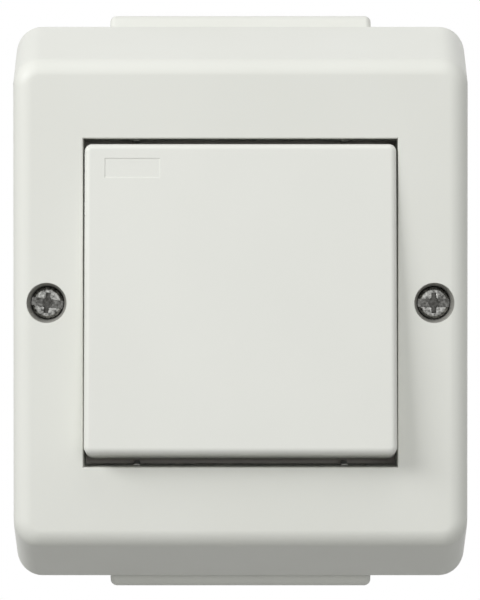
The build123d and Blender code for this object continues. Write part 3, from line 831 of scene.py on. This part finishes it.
def make_rocker(sizes):
    """The rocker: a shallow cap with rounded edges, a sunk field on its face and a socket behind it."""
    face = rocker_pivot.y - sizes.pivot_depth
    back = face + sizes.skirt
    under = face + sizes.plate
    half_x = sizes.width / 2
    half_z = sizes.height / 2
    cap = slab(half_x, half_z, back, face)
    # The lower side leans in towards the face
    lower_front = [vert for vert in cap.verts if vert.co.y < under and vert.co.z < 0]
    bmesh.ops.translate(cap, vec=(0, 0, sizes.lower_draft), verts=lower_front)
    round_edges(cap, upright_edges(cap, back, face), sizes.corner, EDGE_STEPS)
    round_edges(cap, edges_at(cap.edges, face), sizes.edge, EDGE_STEPS)

    socket_x = sizes.socket_width / 2 + sizes.socket_wall
    socket_z = sizes.socket_height / 2 + sizes.socket_wall
    inner_z = half_z - sizes.skirt_wall
    steps = [cut(slab(half_x - sizes.skirt_wall, inner_z, back + PAST, under))]
    for side in (-1, 1):
        x0 = side * (socket_x - sizes.socket_wall)
        x1 = side * socket_x
        rib = block((min(x0, x1), under - INTO, -inner_z - INTO),
                    (max(x0, x1), under + sizes.rib_depth, inner_z + INTO))
        steps.append(added(rib))
    socket_back = under + sizes.socket_depth
    steps.append(added(slab(socket_x, socket_z, socket_back, under - LESS_INTO)))
    steps.append(cut(slab(sizes.socket_width / 2, sizes.socket_height / 2, socket_back + PAST, under)))

    # The field's walls lean by 45 degrees
    sunk = sizes.field_depth
    field_back = (sizes.field_width / 2 - sunk, sizes.field_height / 2 - sunk)
    field_front = (sizes.field_width / 2 + sunk, sizes.field_height / 2 + sunk)
    field = tapered_slab(field_back, field_front, face + sunk, face - sunk)
    steps.append(cut(place(field, sizes.field_inset_x - half_x, 0, half_z - sizes.field_inset_z)))
    rocker = carve(cap, steps)
    tilt = Matrix.Rotation(rocker_rest_tilt, 3, "X")
    bmesh.ops.rotate(rocker, cent=rocker_pivot, matrix=tilt, verts=rocker.verts)
    return rocker


def make_base_box(sizes):
    """The box: leaning walls, a bar with the cable entries through it, a tongue, and a recessed back."""
    back = base_high.y
    rim = cover_high.y
    half_x, half_z = base_high.x, base_high.z - sizes.tab_reach
    back_half = (half_x - sizes.draft, half_z - sizes.draft)
    box = tapered_slab(back_half, (half_x, half_z), back, rim)
    round_edges(box, upright_edges(box, back, rim), sizes.corner, EDGE_STEPS)

    tab_front = rim + sizes.tab_front
    tab_back = back - sizes.tab_back
    bar = block((-sizes.tab_width / 2, tab_front, base_low.z), (sizes.tab_width / 2, tab_back, base_high.z))
    for end in (-1, 1):
        lean_start = (0, tab_front, end * (base_high.z - sizes.tab_slope))
        cut_off(bar, lean_start, (0, -sizes.tab_slope, end * sizes.tab_lean))
    round_edges(bar, bar.edges, sizes.tab_edge, SMALL_EDGE_STEPS)

    inner_x = half_x - sizes.wall
    inner_z = half_z - sizes.wall
    floor = back - sizes.floor
    tongue_x = half_x - sizes.tongue_step
    tongue_z = half_z - sizes.tongue_step
    tongue_corner = sizes.corner - sizes.tongue_step
    steps = [
        added(bar),
        added(slab(tongue_x, tongue_z, rim + INTO, rim - sizes.tongue, tongue_corner)),
        cut(slab(inner_x, inner_z, floor, rim - sizes.tongue - PAST, sizes.corner - sizes.wall)),
        cut(slab(tongue_x - sizes.tongue_wall, tongue_z - sizes.tongue_wall, rim,
                 rim - sizes.tongue - PAST, tongue_corner - sizes.tongue_wall)),
        cut(slab(back_half[0] - sizes.land, back_half[1] - sizes.land, back + PAST,
                 back - sizes.recess, sizes.corner)),
    ]
    fixing_radius = fixing["hole_r_mm"] * MM
    fixing_top = floor - sizes.fixing_height
    fixing_places = [(side * fixing["spacing_x_mm"] * MM / 2, end * fixing["spacing_y_mm"] * MM / 2)
                     for side in (-1, 1) for end in (-1, 1)]
    for x, z in fixing_places:
        steps.append(added(post(fixing_radius + sizes.fixing_wall, back, fixing_top, x, z)))
    hollow_back = back - sizes.recess
    groove_bottom = hollow_back - sizes.knockout_groove
    knockout = sizes.knockout - sizes.knockout_groove
    steps.append(cut(post(sizes.knockout, back, groove_bottom, 0)))
    steps.append(added(post(knockout, hollow_back, groove_bottom - SMALL_PAST, 0)))
    for side in (-1, 1):
        x = side * well_middle()
        z = side * sizes.insert_pillar
        steps.append(added(post(sizes.pillar, floor + INTO, rim, x)))
        steps.append(added(post(sizes.pillar, floor + INTO, pillar_level, 0, z)))
        steps.append(cut(post(sizes.pilot, rim + sizes.pilot_depth, rim - PAST, x)))
        steps.append(cut(post(sizes.pilot, pillar_level + sizes.pilot_depth, pillar_level - PAST, 0, z)))
    for x, z in fixing_places:
        steps.append(cut(post(fixing_radius, back + PAST, fixing_top - PAST, x, z)))
    middle = (tab_front + tab_back) / 2
    for side in (-1, 1):
        x = side * sizes.entry_spacing / 2
        for end in (-1, 1):
            inside = (x, middle, end * (inner_z - PAST))
            outside = (x, middle, end * (base_high.z + PAST))
            steps.append(cut(rod(sizes.entry, inside, outside, TURN_STEPS)))
    return carve(box, steps)


def make_grommets(sizes, end):
    """Two closed cable entries: a flange inside the box, a neck in the hole and a thin closed skin."""
    low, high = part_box("upper_grommets")
    flange_radius = (high.y - low.y) / 2
    neck_radius = sizes.entry - sizes.grommet_clearance
    bore_radius = neck_radius - sizes.grommet_wall
    top = high.z
    skin = top - sizes.grommet_step
    profile = [
        (0.0, skin - sizes.grommet_skin),
        (bore_radius, skin - sizes.grommet_skin),
        (bore_radius, low.z),
        (flange_radius, low.z),
        (flange_radius, low.z + sizes.grommet_flange),
        (neck_radius, low.z + sizes.grommet_flange),
        (neck_radius, skin),
        (sizes.grommet_button, skin),
        (sizes.grommet_button, top),
        (0.0, top),
    ]
    shapes = []
    for side in (-1, 1):
        shape = turned(profile, TURN_STEPS)
        round_edges(shape, sharp_edges(shape), sizes.grommet_edge, SMALL_EDGE_STEPS)
        turn = Matrix.Rotation(end * pi / 2, 3, "X")
        bmesh.ops.rotate(shape, cent=(0, 0, 0), matrix=turn, verts=shape.verts)
        shapes.append(place(shape, side * sizes.entry_spacing / 2, (low.y + high.y) / 2, 0))
    return joined(shapes)


def make_cover_screws(sizes):
    """Two pan-head screws with a long slot, a short cross slot and a round middle."""
    top = screw_low.y
    tip = screw_high.y
    under = washer_low.y
    shapes = []
    for side, turn in ((-1, sizes.left_turn), (1, 0.0)):
        profile = [
            (0.0, tip),
            (sizes.shank - sizes.tip, tip),
            (sizes.shank, tip - sizes.tip),
            (sizes.shank, under),
            (sizes.head, under),
        ]
        # The dome is part of a ball
        ball = (sizes.head**2 + sizes.dome**2) / (2 * sizes.dome)
        opening = asin(sizes.head / ball)
        for step in range(SMALL_EDGE_STEPS, -1, -1):
            angle = opening * step / SMALL_EDGE_STEPS
            profile.append((ball * sin(angle), top + ball * (1 - cos(angle))))
        head = turned(profile)
        rim = edges_at(sharp_edges(head), top + sizes.dome)
        round_edges(head, rim, sizes.head_edge, SMALL_EDGE_STEPS)
        slot = block((-sizes.head - PAST, top - PAST, -sizes.slot / 2),
                     (sizes.head + PAST, top + sizes.slot_depth, sizes.slot / 2))
        cross = block((-sizes.cross / 2, top - PAST, -sizes.cross_length / 2),
                      (sizes.cross / 2, top + sizes.cross_depth, sizes.cross_length / 2))
        socket = rod(sizes.socket_floor, (0, top + sizes.cross_depth, 0), (0, top - SMALL_PAST, 0),
                     end_radius=sizes.socket)
        screw = carve(head, [cut(slot), cut(cross), cut(socket)])
        worn_depth = top + sizes.slot_depth - sizes.burr
        worn = [edge for edge in sharp_edges(screw) if max(v.co.y for v in edge.verts) < worn_depth]
        round_edges(screw, worn, sizes.burr, WORN_EDGE_STEPS)
        bmesh.ops.rotate(screw, cent=(0, 0, 0), matrix=Matrix.Rotation(turn, 3, "Y"), verts=screw.verts)
        shapes.append(place(screw, side * well_middle()))
    return joined(shapes)


def make_screw_washers(sizes):
    """Two flat sealing washers with soft edges."""
    radius = (washer_high.z - washer_low.z) / 2
    shapes = []
    for side in (-1, 1):
        washer = carve(post(radius, washer_high.y, washer_low.y, 0),
                       [cut(post(sizes.hole, washer_high.y + PAST, washer_low.y - PAST, 0))])
        round_edges(washer, sharp_edges(washer), sizes.washer_edge, SMALL_EDGE_STEPS)
        shapes.append(place(washer, side * well_middle()))
    return joined(shapes)


def make_rocker_seal(sizes):
    """The flat seal under the rocker, with a lip round the bearing tower."""
    lip_x = sizes.tower_width / 2 + sizes.seal_lip
    lip_z = sizes.tower_height / 2 + sizes.seal_lip
    flange_front = seal_low.y + sizes.seal_lip_height
    flange = slab(seal_high.x, seal_high.z, seal_high.y, flange_front)
    seal = carve(flange, [
        added(slab(lip_x, lip_z, (seal_high.y + flange_front) / 2, seal_low.y)),
        cut(slab(sizes.tower_width / 2, sizes.tower_height / 2, seal_high.y + PAST, seal_low.y - PAST)),
    ])
    round_edges(seal, edges_at(sharp_edges(seal), seal_low.y), sizes.seal_edge, SMALL_EDGE_STEPS)
    return seal


def spring_start(sizes):
    """The middle of the coil's first turn, at the plunger."""
    low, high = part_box("plunger_spring")
    middle = (low.y + high.y) / 2
    to_middle = (middle - rocker_pivot.y) / plunger_axis.y
    return rocker_pivot + (to_middle - sizes.rise / 2) * plunger_axis


def make_plunger_spring(sizes):
    """A round wire wound about the plunger's axis."""
    start = spring_start(sizes)
    across = Vector((1, 0, 0))
    turn = Matrix((across, plunger_axis, across.cross(plunger_axis))).transposed().to_4x4()
    first = Matrix.Translation(start + sizes.radius * across) @ turn
    shape = bmesh.new()
    bmesh.ops.create_circle(shape, cap_ends=True, radius=sizes.wire, segments=WIRE_SIDES, matrix=first)
    steps = sizes.turns * WIND_STEPS
    bmesh.ops.spin(
        shape, geom=shape.verts[:] + shape.edges[:] + shape.faces[:], cent=start, axis=plunger_axis,
        dvec=plunger_axis * sizes.rise / steps, angle=2 * pi * sizes.turns, steps=steps)
    bmesh.ops.recalc_face_normals(shape, faces=shape.faces)
    return shape


class WALLSWITCH_OT_cover(bpy.types.Operator):
    """Models the cover"""

    bl_idname = "wall_switch.cover"
    bl_label = "Cover"

    def execute(self, context):
        scene = context.scene
        shape = make_cover(scene.switch_cover, scene.switch_wells, scene.switch_box.seal_lip_height)
        material = white_moulding(scene.switch_colours)
        # Painted shade inside the screw wells, darker with depth
        shaded_wells(material, scene.switch_wells, scene.switch_colours.well_shade)
        finish_piece("cover_moulding", shape, "housing", "white_moulding", material, "cover")
        return {"FINISHED"}


class WALLSWITCH_OT_base_box(bpy.types.Operator):
    """Models the box behind the cover"""

    bl_idname = "wall_switch.base_box"
    bl_label = "Base box"

    def execute(self, context):
        scene = context.scene
        shape = make_base_box(scene.switch_box)
        material = white_moulding(scene.switch_colours)
        finish_piece("box_moulding", shape, "housing", "white_moulding", material, "base_box")
        return {"FINISHED"}


class WALLSWITCH_OT_rocker(bpy.types.Operator):
    """Models the rocker"""

    bl_idname = "wall_switch.rocker"
    bl_label = "Rocker"

    def execute(self, context):
        scene = context.scene
        shape = make_rocker(scene.switch_rocker)
        material = white_rocker(scene.switch_colours)
        finish_piece("rocker_cap", shape, "rocker", "white_rocker", material, "rocker")
        return {"FINISHED"}


class WALLSWITCH_OT_screws(bpy.types.Operator):
    """Models the cover screws and their washers"""

    bl_idname = "wall_switch.screws"
    bl_label = "Screws and washers"

    def execute(self, context):
        sizes = context.scene.switch_wells
        colours = context.scene.switch_colours
        # Bright zinc gives a clear reflection; its dark clouds are partly dulled plate and partly painted dark
        # reflection
        zinc = plated_metal(
            "steel, bright zinc plate", colours.zinc, colours.zinc_dull_and_dark_reflection, rough=0.24, scratch=0.25)
        # Painted shade at the bottom of the slots, darker with depth
        shaded_slots(zinc, sizes, colours.recess_shade)
        screws = make_cover_screws(sizes)
        finish_piece("pan_head_screws", screws, "housing", "zinc_screw", zinc, "cover_screws")
        rubber = dark_seal(colours)
        washers = make_screw_washers(sizes)
        finish_piece("sealing_washers", washers, "housing", "dark_seal", rubber, "screw_washers")
        return {"FINISHED"}


class WALLSWITCH_OT_seals(bpy.types.Operator):
    """Models the cable entries and the rocker's seal"""

    bl_idname = "wall_switch.seals"
    bl_label = "Cable entries and seal"

    def execute(self, context):
        sizes = context.scene.switch_box
        colours = context.scene.switch_colours
        soft = soft_entry(colours)
        for end, level in ((1, "upper"), (-1, "lower")):
            grommets = make_grommets(sizes, end)
            finish_piece(f"{level}_entries", grommets, "housing", "soft_entry", soft, f"{level}_grommets")
        seal = make_rocker_seal(sizes)
        finish_piece("rocker_lip_seal", seal, "housing", "grey_seal", grey_seal(colours), "rocker_seal")
        return {"FINISHED"}


class WALLSWITCH_OT_spring(bpy.types.Operator):
    """Models the spring that is squeezed between the plunger and the rocker"""

    bl_idname = "wall_switch.spring"
    bl_label = "Plunger spring"

    def execute(self, context):
        sizes = context.scene.switch_spring
        # Drawn wire gives a grey reflection with fine streaks
        wire = plated_metal("spring steel wire", *tones("A2A2A0", "7E7E7C"), rough=0.25, scratch=0.2)
        coil = make_plunger_spring(sizes)
        spring = made_piece("coil_spring", coil, "spring_steel", wire, "plunger_spring")
        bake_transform(spring)
        return {"FINISHED"}


class WALLSWITCH_OT_inner_works(bpy.types.Operator):
    """Gives the pieces inside the switch their finishes"""

    bl_idname = "wall_switch.inner_works"
    bl_label = "Inner works"

    def execute(self, context):
        rubber = dark_seal(context.scene.switch_colours)
        # Plated steel gives cool greys with a broken sheen
        sheet = plated_metal(
            "sheet steel, zinc plate", *tones("B4B5B5", "989A9B"), rough=0.35, scratch=0.4)
        screw = plated_metal("steel, zinc plate", *tones("B0B0AE", "90908E"), rough=0.3, scratch=0.25)
        # Rolled brass gives a warm yellow and silver alloy a pale white, both with a clear reflection
        brass = plated_metal("brass strip, rolled", *tones("D9B36A", "C49A52"), rough=0.28, scratch=0.3)
        silver = plated_metal("silver alloy", *tones("DEDCD6", "C9C6BF"), rough=0.22, scratch=0.2)
        # Pressed resin gives an even grey, glass-filled polyamide a duller one, and acetal a smooth milky white
        thermoset = moulded_plastic(
            "urea resin, grey", *tones("9A9C9D", "919394"), rough=0.5, grain_size=0.4, grain_height=0.01)
        polyamide = moulded_plastic(
            "polyamide, glass-filled", *tones("BEBFBD", "B2B3B1"), rough=0.55, grain_size=0.3,
            grain_height=0.015)
        acetal = moulded_plastic(
            "acetal, natural", *tones("CECDC7", "C6C5BF"), rough=0.35, grain_size=0.5, grain_height=0.005)
        finishes = {
            "cover_gasket": rubber,
            "support_plate": sheet,
            "insert_screws": screw,
            "insert_body": thermoset,
            "bearing_frame": polyamide,
            "actuator": acetal,
            "plunger": acetal,
            "contact_lever": brass,
            "lever_contact_tips": silver,
            "fixed_contact_tips": silver,
            "upper_contact": brass,
            "lower_contact": brass,
            "common_contact": brass,
            "terminal_clamps": brass,
            "terminal_screws": screw,
        }
        for name, material in finishes.items():
            frame["nodes"][name].material_slots[0].material = material
        return {"FINISHED"}


def seen_directly(tree):
    """A factor that is 1 for rays from the camera, reflections and clear materials."""
    path = add_node(tree, "ShaderNodeLightPath")
    factor = path.outputs["Is Camera Ray"]
    for name in ("Is Glossy Ray", "Is Transmission Ray"):
        either = add_node(tree, "ShaderNodeMath", {0: factor, 1: path.outputs[name]}, operation="MAXIMUM")
        factor = either.outputs["Value"]
    return factor


def floor_paper(settings):
    """Pale studio paper whose rim fades into the white background."""
    material, tree, shader, coordinates = new_material("paper, pale, matt")
    seen = seen_directly(tree)
    pale = mottle(tree, coordinates, size=40.0, first=settings.floor, second=settings.floor_deep)
    # Less light comes back up from the floor than the eye sees there, as from a floor that is further away
    bounce = add_node(
        tree, "ShaderNodeMix", {"Factor": seen, "A": opaque(settings.floor_bounce), "B": pale},
        data_type="RGBA")
    tree.links.new(bounce.outputs["Result"], shader.inputs["Base Color"])
    shader.inputs["Roughness"].default_value = 0.9
    away = add_node(tree, "ShaderNodeVectorMath", {"Vector": coordinates}, operation="LENGTH")
    fade = add_node(
        tree, "ShaderNodeMapRange",
        {"Value": away.outputs["Value"], "From Min": settings.fade_start * settings.floor_radius,
         "From Max": settings.fade_end * settings.floor_radius, "To Min": settings.paleness},
        interpolation_type="SMOOTHSTEP")
    share = add_node(tree, "ShaderNodeMath", {0: fade.outputs["Result"], 1: seen}, operation="MULTIPLY")
    white = add_node(tree, "ShaderNodeEmission", {"Color": (1, 1, 1, 1), "Strength": 1.0})
    mix = add_node(
        tree, "ShaderNodeMixShader",
        {"Fac": share.outputs["Value"], 1: shader.outputs["BSDF"], 2: white.outputs["Emission"]})
    output = next(node for node in tree.nodes if node.type == "OUTPUT_MATERIAL")
    tree.links.new(mix.outputs["Shader"], output.inputs["Surface"])
    return material


def studio_world(strength):
    """White to the camera and in reflections, and a softer light from all round on the object."""
    world = bpy.data.worlds.new("studio")
    world.use_nodes = True
    tree = world.node_tree
    tree.nodes.clear()
    around = add_node(tree, "ShaderNodeBackground", {"Color": (1, 1, 1, 1), "Strength": strength})
    white = add_node(tree, "ShaderNodeBackground", {"Color": (1, 1, 1, 1), "Strength": 1.0})
    mix = add_node(
        tree, "ShaderNodeMixShader",
        {"Fac": seen_directly(tree), 1: around.outputs["Background"], 2: white.outputs["Background"]})
    add_node(tree, "ShaderNodeOutputWorld", {"Surface": mix.outputs["Shader"]})
    return world


def soft_light(name, source, distance, width, height, energy):
    """Adds a soft light that looks at the middle of the object."""
    lamp = bpy.data.lights.new(name, "AREA")
    lamp.shape = "RECTANGLE"
    lamp.size = width
    lamp.size_y = height
    lamp.energy = energy
    light = bpy.data.objects.new(name, lamp)
    towards = Vector(source).normalized()
    light.location = Vector((0, cover_low.y, 0)) + distance * towards
    light.rotation_euler = towards.to_track_quat("Z", "Y").to_euler()
    # Of the lamps, reflections show only the main one, and else the white studio
    light.visible_glossy = name == "key"
    bpy.context.scene.collection.objects.link(light)


class WALLSWITCH_OT_stage(bpy.types.Operator):
    """Makes the floor, the light and the camera"""

    bl_idname = "wall_switch.stage"
    bl_label = "Stage"

    def execute(self, context):
        scene = context.scene
        settings = scene.switch_stage
        disc = bmesh.new()
        bmesh.ops.create_circle(disc, cap_ends=True, radius=settings.floor_radius, segments=TURN_STEPS)
        place(disc, z=-settings.floor_drop)
        mesh = bpy.data.meshes.new("floor")
        disc.to_mesh(mesh)
        disc.free()
        mesh.materials.append(floor_paper(settings))
        floor = bpy.data.objects.new("floor", mesh)
        scene.collection.objects.link(floor)

        size = settings.soft_size
        soft_light("key", settings.key_direction, settings.key_distance, settings.key_width,
                   settings.key_height, settings.key_power)
        soft_light("fill", settings.fill_direction, settings.fill_distance, size, size, settings.fill_power)
        soft_light("top", settings.top_direction, settings.light_distance, size, size, settings.top_power)
        soft_light("back", settings.back_direction, settings.light_distance, size, size, settings.back_power)
        scene.world = studio_world(settings.ambient)

        lens = bpy.data.cameras.new("camera")
        lens.sensor_width = 36.0
        lens.lens = lens.sensor_width * settings.distance / settings.view_height
        lens.clip_start = 10.0 * MM
        camera = bpy.data.objects.new("camera", lens)
        camera.location = (-settings.aside, cover_low.y - settings.distance, settings.rise)
        aim = Vector((-settings.aside, cover_low.y, settings.aim))
        camera.rotation_euler = (aim - camera.location).to_track_quat("-Z", "Y").to_euler()
        scene.collection.objects.link(camera)
        scene.camera = camera
        scene.view_settings.view_transform = "Standard"
        return {"FINISHED"}


class WALLSWITCH_PT_panel(bpy.types.Panel):
    """The switch's operators in the sidebar"""

    bl_idname = "WALLSWITCH_PT_panel"
    bl_label = "Wall switch"
    bl_space_type = "VIEW_3D"
    bl_region_type = "UI"
    bl_category = "Wall switch"

    def draw(self, context):
        for operator in operators:
            self.layout.operator(operator.bl_idname)


property_groups = {
    "switch_cover": CoverSizes,
    "switch_wells": WellSizes,
    "switch_rocker": RockerSizes,
    "switch_box": BoxSizes,
    "switch_spring": SpringSizes,
    "switch_colours": SwitchColours,
    "switch_stage": StageSettings,
}
operators = [
    WALLSWITCH_OT_cover,
    WALLSWITCH_OT_base_box,
    WALLSWITCH_OT_rocker,
    WALLSWITCH_OT_screws,
    WALLSWITCH_OT_seals,
    WALLSWITCH_OT_spring,
    WALLSWITCH_OT_inner_works,
    WALLSWITCH_OT_stage,
]


def register():
    for group in property_groups.values():
        bpy.utils.register_class(group)
    for name, group in property_groups.items():
        setattr(bpy.types.Scene, name, PointerProperty(type=group))
    for operator in operators:
        bpy.utils.register_class(operator)
    bpy.utils.register_class(WALLSWITCH_PT_panel)


def unregister():
    bpy.utils.unregister_class(WALLSWITCH_PT_panel)
    for operator in reversed(operators):
        bpy.utils.unregister_class(operator)
    for name, group in property_groups.items():
        delattr(bpy.types.Scene, name)
        bpy.utils.unregister_class(group)


def main():
    """Models the whole switch."""
    register()
    bpy.ops.wall_switch.cover()
    bpy.ops.wall_switch.base_box()
    bpy.ops.wall_switch.rocker()
    bpy.ops.wall_switch.screws()
    bpy.ops.wall_switch.seals()
    bpy.ops.wall_switch.spring()
    bpy.ops.wall_switch.inner_works()
    bpy.ops.wall_switch.stage()


if __name__ == "__main__":
    main()
